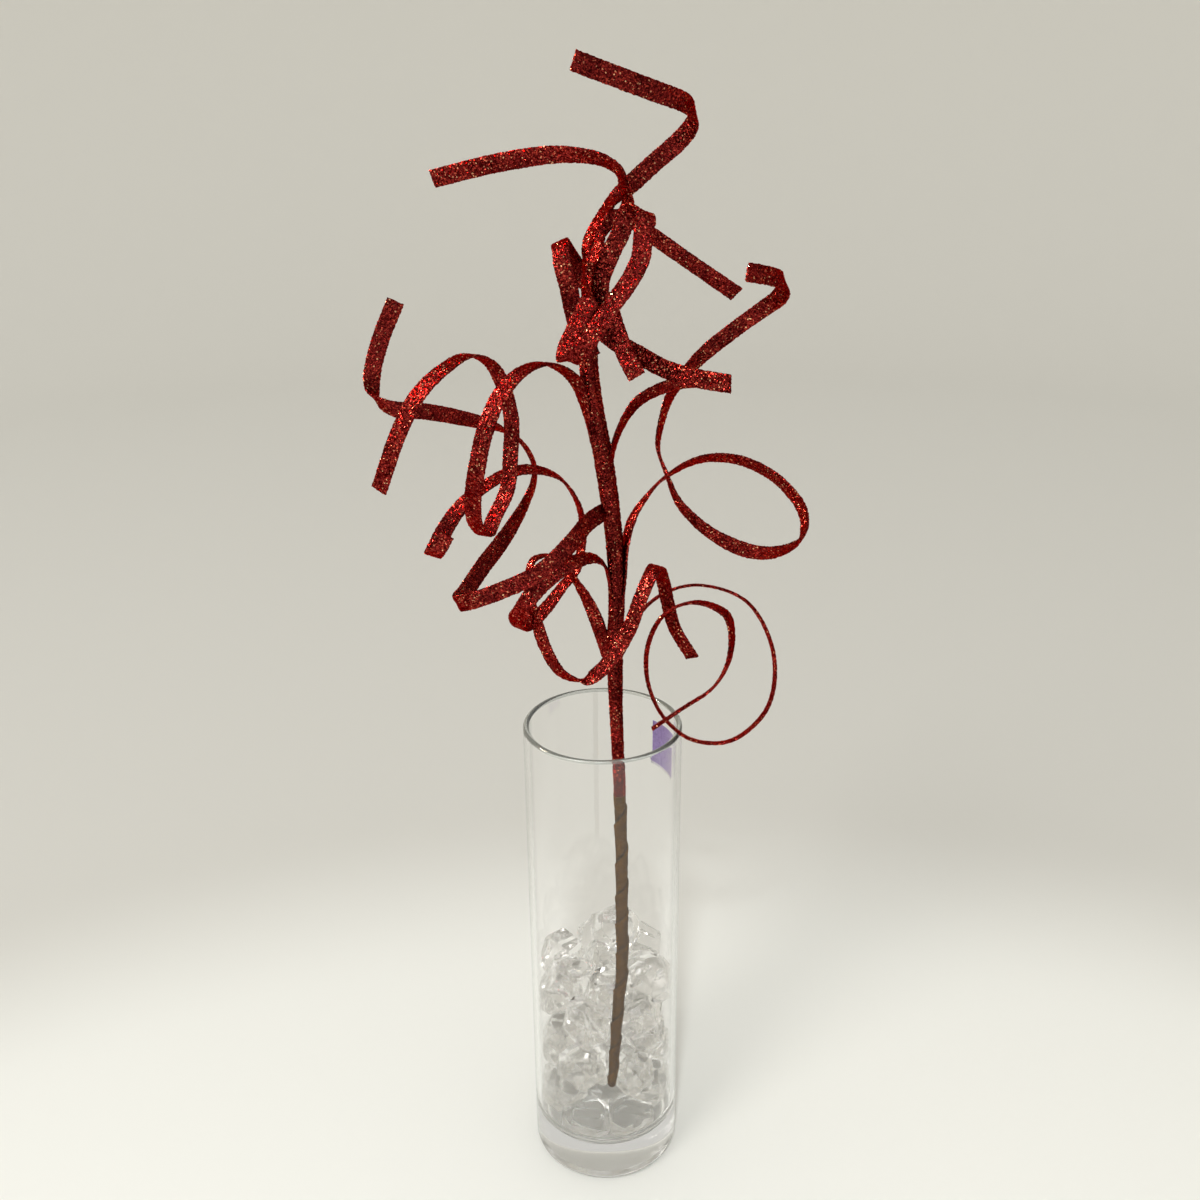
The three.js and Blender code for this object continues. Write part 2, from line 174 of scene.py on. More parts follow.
def make_glitter(name, darker, lighter):
    finish = Finish(name, Metallic=1.0, Roughness=0.22, Specular_Tint=(1.0, 0.12, 0.1, 1))
    flakes = finish.texture("TexVoronoi", Scale=1 / FLAKE)
    parts = finish.node("SeparateColor")
    finish.join(flakes.outputs["Color"], parts.inputs["Color"])
    # The top stop, pale gold, is a painted glint on the rarest flakes.
    reds_and_painted_glints = finish.ramp(parts.outputs["Red"], [
        (0.0, (0.045, 0.002, 0.002)),
        (0.45, (0.14, 0.01, 0.01)),
        (0.8, (0.3, 0.026, 0.024)),
        (0.97, (0.6, 0.08, 0.05)),
        (0.994, (1.0, 0.58, 0.33)),
    ])
    patches = finish.texture("TexNoise", Scale=90, Detail=2)
    shade = finish.ramp(patches.outputs["Fac"], [(0.3, darker), (0.7, lighter)])
    mixed = finish.node("Mix", data_type="RGBA", blend_type="MULTIPLY")
    mixed.inputs["Factor"].default_value = 1
    finish.join(reds_and_painted_glints, mixed.inputs["A"])
    finish.join(shade, mixed.inputs["B"])
    finish.join(mixed.outputs["Result"], finish.shader.inputs["Base Color"])
    # A cell's colour runs from 0 to 1, so a half is taken off to let it tilt the normal either way.
    centred = finish.node("VectorMath", operation="SUBTRACT")
    finish.join(flakes.outputs["Color"], centred.inputs[0])
    centred.inputs[1].default_value = (0.5, 0.5, 0.5)
    tilt = finish.node("VectorMath", operation="SCALE")
    finish.join(centred.outputs["Vector"], tilt.inputs[0])
    tilt.inputs["Scale"].default_value = FLAKE_TILT
    tilted = finish.node("VectorMath", operation="ADD")
    finish.join(finish.node("NewGeometry").outputs["Normal"], tilted.inputs[0])
    finish.join(tilt.outputs["Vector"], tilted.inputs[1])
    normal = finish.node("VectorMath", operation="NORMALIZE")
    finish.join(tilted.outputs["Vector"], normal.inputs[0])
    finish.join(normal.outputs["Vector"], finish.shader.inputs["Normal"])
    return finish.material


glitter = make_glitter("red_glitter", (0.5, 0.46, 0.48), (1.12, 1.03, 0.98))
stem_glitter = make_glitter("stem_glitter", (0.42, 0.38, 0.38), (0.98, 0.88, 0.82))
print("glitter flakes", round(FLAKE / MM, 2), "mm across")

# %% [markdown]
# ## Glass and ice
#
# The vase is clear glass and the rocks are clear acrylic, which bends light a little less. A Glass shader
# would do for both, but an exported model keeps only what the Principled shader holds. Glass seen edge on
# looks darker, so its colour is darkened with the slant of the surface, as a painted shade. The rim is
# painted greyer, also a painted shade, and is a little frosted, so it has a finish of its own. Moulded
# acrylic is never quite flat, so the rocks get a slight ripple. Low in the heap they are hazier, and their
# colour is painted lighter there and greyer near the top, painted light against the shade that falls low in
# the heap.

# %% Glass and ice
GLASS_IOR = 1.42
ICE_IOR = 1.25
HAZY_HEIGHT = 0.03
CLEAR_HEIGHT = 0.11


def make_glass():
    finish = Finish("vase_glass", Roughness=0.0, IOR=GLASS_IOR, Transmission_Weight=1.0)
    slant = finish.node("LayerWeight")
    # A painted shade: the colour darkens as the glass is seen more edge on.
    painted_shade_tint = finish.ramp(slant.outputs["Facing"], [(0.72, (1.0, 1.0, 1.0)), (0.97, (0.5, 0.54, 0.54))])
    finish.join(painted_shade_tint, finish.shader.inputs["Base Color"])
    return finish.material


def make_ice():
    finish = Finish("clear_ice", IOR=ICE_IOR, Transmission_Weight=1.0)
    height = finish.node("SeparateXYZ")
    finish.join(finish.place, height.inputs["Vector"])
    haze = finish.ramp(height.outputs["Z"], [
        (HAZY_HEIGHT, (0.24, 0.24, 0.24)),
        (CLEAR_HEIGHT, (0.06, 0.06, 0.06)),
    ])
    finish.join(haze, finish.shader.inputs["Roughness"])
    # Painted light and shade: the colour is lighter low in the heap, where shade falls, and greyer near the
    # top.
    painted_shade_tint = finish.ramp(height.outputs["Z"], [
        (HAZY_HEIGHT, (0.978, 0.973, 0.96)),
        (CLEAR_HEIGHT, (0.93, 0.925, 0.918)),
    ])
    finish.join(painted_shade_tint, finish.shader.inputs["Base Color"])
    ripple = finish.texture("TexNoise", Scale=160, Detail=2)
    finish.join(finish.bump(ripple.outputs["Fac"], 0.16, 1.2 * MM), finish.shader.inputs["Normal"])
    return finish.material


vase_glass = make_glass()
# The rim's grey is a painted shade, standing in for the dark surroundings that the rim refracts.
rim_finish = Finish(
    "rim_glass_painted_shade", Base_Color=(0.5, 0.53, 0.52, 1), Roughness=0.15, IOR=GLASS_IOR, Transmission_Weight=0.8,
)
rim_glass_painted_shade = rim_finish.material
clear_ice = make_ice()
print("glass bends light by", GLASS_IOR, "and ice by", ICE_IOR)

# %% [markdown]
# ## Floral tape
#
# The tape is stretched crepe paper, brown and matt, with fine creases. Its laps could be a bump, but they
# are real steps in the mesh, which also carries how far across the tape each point lies. The finish uses
# that to paint shade into the corner at the foot of each step, and a painted highlight on the raised edge.

# %% Floral tape
def make_tape():
    finish = Finish("floral_tape", Roughness=0.9, Specular_IOR_Level=0.05)
    mottling = finish.texture("TexNoise", Scale=260, Detail=6, Roughness=0.7)
    browns = finish.ramp(mottling.outputs["Fac"], [
        (0.25, (0.056, 0.023, 0.002)),
        (0.5, (0.107, 0.046, 0.005)),
        (0.78, (0.185, 0.09, 0.017)),
    ])
    lap_shade_and_highlight = finish.node("Attribute", attribute_name="lap_shade_and_highlight")
    # Painted shade at the foot of each lap, and a painted highlight on its raised edge.
    edge = finish.ramp(lap_shade_and_highlight.outputs["Fac"], [
        (0.0, (0.12, 0.1, 0.08)),
        (0.05, (0.22, 0.19, 0.17)),
        (0.12, (0.95, 0.95, 0.95)),
        (0.8, (1, 1, 1)),
        (1.0, (1.3, 1.3, 1.3)),
    ])
    mixed = finish.node("Mix", data_type="RGBA", blend_type="MULTIPLY")
    mixed.inputs["Factor"].default_value = 1
    finish.join(browns, mixed.inputs["A"])
    finish.join(edge, mixed.inputs["B"])
    finish.join(mixed.outputs["Result"], finish.shader.inputs["Base Color"])
    creases = finish.texture("TexNoise", Scale=900, Detail=4)
    finish.join(finish.bump(creases.outputs["Fac"], 0.6, 0.5 * MM), finish.shader.inputs["Normal"])
    return finish.material


floral_tape = make_tape()
print("tape finish", floral_tape.name)

# %% [markdown]
# ## Label paper
#
# The label is printed violet paper with a pale band along its lower edge. An image could hold the band, but
# it is one plain stripe, so it follows the height of each point. Faint fibres and wear break up the colour.

# %% Label paper
LABEL_BAND_TOP = 0.2853


def make_label_paper():
    finish = Finish("label_paper", Roughness=0.38)
    fibres = finish.texture("TexNoise", Scale=420, Detail=5)
    violets = finish.ramp(fibres.outputs["Fac"], [(0.3, (0.19, 0.09, 0.43)), (0.7, (0.34, 0.22, 0.62))])
    heights = finish.node("SeparateXYZ")
    finish.join(finish.place, heights.inputs["Vector"])
    band = finish.node("Math", operation="LESS_THAN")
    finish.join(heights.outputs["Z"], band.inputs[0])
    band.inputs[1].default_value = LABEL_BAND_TOP
    mixed = finish.node("Mix", data_type="RGBA")
    finish.join(band.outputs["Value"], mixed.inputs["Factor"])
    finish.join(violets, mixed.inputs["A"])
    mixed.inputs["B"].default_value = (0.72, 0.7, 0.78, 1)
    finish.join(mixed.outputs["Result"], finish.shader.inputs["Base Color"])
    finish.join(finish.bump(fibres.outputs["Fac"], 0.2, 0.2 * MM), finish.shader.inputs["Normal"])
    return finish.material


label_paper = make_label_paper()
print("label band up to", LABEL_BAND_TOP, "m")

# %% [markdown]
# ## Vase
#
# The vase is drawn glass: straight walls, a thick floor with a slight hollow underneath, a rounded foot and
# a fire-polished rim. Inside, the floor curves up into the wall. One cylinder could be cut from another,
# but the vase is a turned shape, so half its outline is drawn as a chain of points, its corners are rounded
# with a bevel, and the chain is spun round the axis. A point held close to a corner keeps the flat part
# beside it flat.

# %% Vase
VASE_RADIUS = 50 * MM
VASE_HEIGHT = 332 * MM
WALL = 3.6 * MM
FLOOR = 26 * MM
FOOT_ROUND = 7 * MM
INNER_ROUND = 14 * MM
HOLLOW = 1.2 * MM
HOLLOW_RADIUS = 36 * MM
FOOT_RING = 39 * MM
HOLD = 0.6 * MM
RIM_ROUND = WALL / 2 * 0.98
VASE_SIDES = 160


def draw_outline(shape, outline):
    """A chain of edges through points that are given as distance from the axis and height."""
    chain = [shape.verts.new((x, 0, z)) for x, z in outline]
    for a, b in zip(chain, chain[1:]):
        shape.edges.new((a, b))
    return chain


def spin_outline(shape, sides):
    bmesh.ops.spin(
        shape, geom=shape.verts[:] + shape.edges[:], axis=(0, 0, 1), cent=(0, 0, 0),
        angle=math.tau, steps=sides, use_merge=True,
    )
    bmesh.ops.remove_doubles(shape, verts=shape.verts, dist=MERGE)
    bmesh.ops.recalc_face_normals(shape, faces=shape.faces)


def round_corner(shape, corner, radius, segments):
    bmesh.ops.bevel(
        shape, geom=[corner], offset=radius, offset_type="OFFSET", affect="VERTICES",
        segments=segments, profile=0.5, material=-1,
    )


def make_vase():
    shape = bmesh.new()
    bore = VASE_RADIUS - WALL
    chain = draw_outline(shape, [
        (0, HOLLOW), (HOLLOW_RADIUS - HOLD, HOLLOW), (HOLLOW_RADIUS, HOLLOW),
        (FOOT_RING, 0), (FOOT_RING + HOLD, 0), (VASE_RADIUS, 0),
        (VASE_RADIUS, FOOT_ROUND + HOLD), (VASE_RADIUS, VASE_HEIGHT - WALL), (VASE_RADIUS, VASE_HEIGHT),
        (bore, VASE_HEIGHT), (bore, VASE_HEIGHT - WALL), (bore, FLOOR + INNER_ROUND + HOLD),
        (bore, FLOOR), (bore - INNER_ROUND - HOLD, FLOOR), (0, FLOOR),
    ])
    foot, outer_rim, inner_rim, floor_corner = chain[5], chain[8], chain[9], chain[12]
    round_corner(shape, foot, FOOT_ROUND, 10)
    round_corner(shape, outer_rim, RIM_ROUND, 6)
    round_corner(shape, inner_rim, RIM_ROUND, 6)
    round_corner(shape, floor_corner, INNER_ROUND, 14)
    spin_outline(shape, VASE_SIDES)
    return shape


vase = add_piece("glass_vase", make_vase(), vase_glass, ["vase"], True)
vase.data.materials.append(rim_glass_painted_shade)
# The rim's faces take the grey rim finish, a painted shade.
for face in vase.data.polygons:
    if face.center.z > VASE_HEIGHT - WALL / 2:
        face.material_index = 1
print("vase", triangles(vase), "triangles", [round(x, 4) for x in vase.dimensions])

# %% [markdown]
# ## Label
#
# The label is a sheet of paper stuck round the outside of the glass. A bend modifier could curve it, but a
# rule puts each point at its exact distance from the axis: a flat grid gets its thickness and is wrapped
# onto the glass.

# %% Label
LABEL_WIDTH = 29 * MM
LABEL_HEIGHT = 31 * MM
LABEL_MIDDLE_Z = 299 * MM
LABEL_BEARING = math.radians(30)
LABEL_PAPER = 0.3 * MM
LABEL_GLUE = 0.05 * MM


def make_label():
    shape = bmesh.new()
    bmesh.ops.create_grid(shape, x_segments=16, y_segments=20, size=0.5)
    sheet = shape.faces[:]
    thick = bmesh.ops.extrude_face_region(shape, geom=sheet, use_keep_orig=True)
    raised = [item for item in thick["geom"] if isinstance(item, bmesh.types.BMVert)]
    bmesh.ops.translate(shape, verts=raised, vec=(0, 0, 1))
    for corner in shape.verts:
        across, up, out = corner.co
        radius = VASE_RADIUS + LABEL_GLUE + out * LABEL_PAPER
        bearing = LABEL_BEARING + across * LABEL_WIDTH / VASE_RADIUS
        z = LABEL_MIDDLE_Z + up * LABEL_HEIGHT
        corner.co = (radius * math.cos(bearing), radius * math.sin(bearing), z)
    bmesh.ops.recalc_face_normals(shape, faces=shape.faces)
    return shape


label = add_piece("paper_label", make_label(), label_paper, ["label"], False)
print("label", triangles(label), "triangles")

# %% [markdown]
# ## The stem's line
#
# The stem leans and bends a little on its way up, and grows thicker above the rim. A bevelled curve could
# draw it, but the tape's laps and the grooves need a rule for each point. So each height is matched to a
# centre on a smooth line through a few points, and to a radius between given sizes.

# %% The stem's line
TAPE_TOP = 299 * MM
STEM_SIZES = [
    (78, 2.6), (92, 3.1), (130, 3.5), (190, 3.8), (299, 3.6), (346, 3.9),
    (371, 4.5), (420, 4.9), (470, 5.1), (500, 5.6), (540, 5.8), (575, 4.8), (594, 4.1),
]
STEM_ROUTE = [
    (4, -41, 78), (6, -40, 105), (8, -38, 136), (11, -36, 173), (11, -34, 214), (11, -33, 251),
    (10, -31, 299), (9, -28, 330), (8, -24, 360), (8, -20, 397), (9, -19, 425), (8, -18, 455),
    (5, -17, 484), (1, -16, 512), (-4, -15, 539), (-6, -14, 563), (-5, -13, 580), (-3, -12, 594),
]
SAMPLES_PER_SPAN = 24


def smooth_line(route):
    """Centripetal Catmull-Rom points through a route."""
    points = [Vector(point) for point in route]
    points = [2 * points[0] - points[1], *points, 2 * points[-1] - points[-2]]
    line = []
    for before, start, end, after in zip(points, points[1:], points[2:], points[3:]):
        gaps = [math.sqrt((b - a).length) for a, b in ((before, start), (start, end), (end, after))]
        leave = (start - before) / gaps[0] - (end - before) / (gaps[0] + gaps[1]) + (end - start) / gaps[1]
        arrive = (end - start) / gaps[1] - (after - start) / (gaps[1] + gaps[2]) + (after - end) / gaps[2]
        leave *= gaps[1]
        arrive *= gaps[1]
        for step in range(SAMPLES_PER_SPAN):
            t = step / SAMPLES_PER_SPAN
            square, cube = t * t, t * t * t
            line.append(
                start * (2 * cube - 3 * square + 1) + leave * (cube - 2 * square + t)
                + end * (3 * square - 2 * cube) + arrive * (cube - square)
            )
    line.append(points[-2])
    return line


stem_line = smooth_line(STEM_ROUTE)


def stem_centre(z):
    """The stem's centre, in millimetres, at a height in millimetres."""
    for low, high in zip(stem_line, stem_line[1:]):
        if high.z >= z:
            break
    share = min(max((z - low.z) / (high.z - low.z), 0), 1)
    return low.lerp(high, share)


def stem_radius(z):
    """The stem's radius, in millimetres, at a height in millimetres."""
    for (low_z, low), (high_z, high) in zip(STEM_SIZES, STEM_SIZES[1:]):
        if high_z >= z:
            break
    share = min(max((z - low_z) / (high_z - low_z), 0), 1)
    return low + (high - low) * share


print("stem leans", [round(x) for x in stem_line[-1] - stem_line[0]], "mm from foot to top")

# %% [markdown]
# ## A rod to shape the stem from
#
# Both lengths of the stem start as a plain rod cut into many short rings. Each ring is then moved to its
# place on the line, and its radius is set by a rule: spiral steps for tape, grooves for a bundle of strips.
# Two small helpers serve both: one gives the way out from the axis, and one narrows a rounded end.

# %% A rod to shape the stem from
def make_rod(low, high, sides, pitch):
    """A closed rod of radius 1 from z 0 to 1, in rings."""
    shape = bmesh.new()
    lift = Matrix.Translation((0, 0, 0.5))
    bmesh.ops.create_cone(shape, segments=sides, radius1=1, radius2=1, depth=1, cap_ends=True, matrix=lift)
    uprights = [edge for edge in shape.edges if abs(edge.verts[0].co.z - edge.verts[1].co.z) > 0.5]
    cuts = round((high - low) / pitch) - 1
    bmesh.ops.subdivide_edges(shape, edges=uprights, cuts=cuts, use_grid_fill=True)
    return shape


def way_out(corner):
    """The level direction from the rod's axis to a point, of no length on the axis."""
    level = Vector((corner.co.x, corner.co.y, 0))
    if level.length > 0:
        level.normalize()
    return level


def rounded(share):
    """How wide a rounded end is, from 0 at its tip to 1 where it meets the rod."""
    return math.sqrt(1 - (1 - share) ** 2) if share < 1 else 1


# %% [markdown]
# ## Taped stem
#
# Floral tape is wound up the stem in a spiral, each turn lapping over the last, so its edge makes a
# slanting step. A ribbon could be wound in the mesh as well, but a rule for the radius is simpler: it grows
# across the tape's width and drops at its edge. The painted shade line at each edge is darker on some turns
# than on others, at random. The foot is rounded where the tape is pinched.

# %% Taped stem
TAPE_PITCH = 24
TAPE_STEP = 0.8
TAPE_SINK = 0.15
TAPE_WOBBLE = 0.2
LAP_SHADE_LIMIT = 0.12
WINDING_DRIFT = 0.12
WINDING_DRIFT_LENGTH = 17


def make_taped_stem():
    low, high = STEM_SIZES[0][0], TAPE_TOP / MM
    shape = make_rod(low, high, sides=44, pitch=0.7)
    lap_shade_and_highlight = shape.verts.layers.float.new("lap_shade_and_highlight")
    for corner in shape.verts:
        bearing = math.atan2(corner.co.y, corner.co.x)
        z = low + corner.co.z * (high - low)
        turns = z / TAPE_PITCH - bearing / math.tau + WINDING_DRIFT * math.sin(z / WINDING_DRIFT_LENGTH)
        share = turns % 1
        # A random strength for each turn's painted shade line; at low values the painted shade is cut off.
        painted_shade_strength = random.Random(math.floor(turns)).random()
        corner[lap_shade_and_highlight] = max(share, LAP_SHADE_LIMIT * (1 - painted_shade_strength))
        size = stem_radius(z) - TAPE_SINK + TAPE_STEP * share * share
        size += TAPE_WOBBLE * noise.noise(Vector((corner.co.x * 2, corner.co.y * 2, z / 3)))
        size *= rounded((z - low) / stem_radius(low))
        corner.co = (stem_centre(z) + way_out(corner) * size) * MM
    bmesh.ops.recalc_face_normals(shape, faces=shape.faces)
    return shape


taped_stem = add_piece("taped_stem", make_taped_stem(), floral_tape, ["stem_taped"], True)
print("taped stem", triangles(taped_stem), "triangles")

# %% [markdown]
# ## Glittered stem
#
# Above the tape the strips' lower ends lie side by side in a bundle under the glitter. They could be
# modelled one by one, but only their shallow grooves show, which run up the stem, turn slowly round it and
# grow deeper. Every point is then pushed a little at random, as the grains do. The points are taken in the
# order of their places, because Blender's own order can change from run to run.

# %% Glittered stem
STRANDS = 5
STRAND_TWIST = 0.006
GROOVE_AT_TAPE = 0.04
GROOVE_GROWTH = 0.16
TIP_ROUND = 2.5
GRAIN = 0.22
draw = random.Random(11)


def grain():
    return draw.uniform(-GRAIN, GRAIN)


def in_order(shape):
    """The corners sorted by their places, so that every run gives each one the same grains."""
    return sorted(shape.verts, key=lambda corner: tuple(round(value, 5) for value in corner.co))


def make_glittered_stem():
    low, high = TAPE_TOP / MM, STEM_SIZES[-1][0]
    shape = make_rod(low, high, sides=40, pitch=0.75)
    for corner in in_order(shape):
        bearing = math.atan2(corner.co.y, corner.co.x)
        z = low + corner.co.z * (high - low)
        rise = (z - low) / (high - low)
        groove = abs(math.sin(STRANDS / 2 * (bearing + STRAND_TWIST * z)))
        depth = (GROOVE_AT_TAPE + GROOVE_GROWTH * rise) * (1 - groove) ** 2
        size = (stem_radius(z) * (1 - depth) + grain()) * rounded((high - z) / TIP_ROUND)
        lift = Vector((grain(), grain(), grain())) * (1 if 0 < rise < 1 else 0)
        corner.co = (stem_centre(z) + way_out(corner) * size + lift) * MM
    bmesh.ops.recalc_face_normals(shape, faces=shape.faces)
    bmesh.ops.triangulate(shape, faces=shape.faces)
    return shape


glittered_stem = add_piece(
    "glittered_stem", make_glittered_stem(), stem_glitter, ["stem_glittered"], False,
)
print("glittered stem", triangles(glittered_stem), "triangles")

# %% [markdown]
# ## The strips' routes
#
# Each strip was curled round a rod and pulled open, so its route has coils, arches and folds. A spiral by
# rule would be too even. So a route is a short list of points, in millimetres, and "across" gives the
# direction of the strip's width, spread evenly from root to tip.

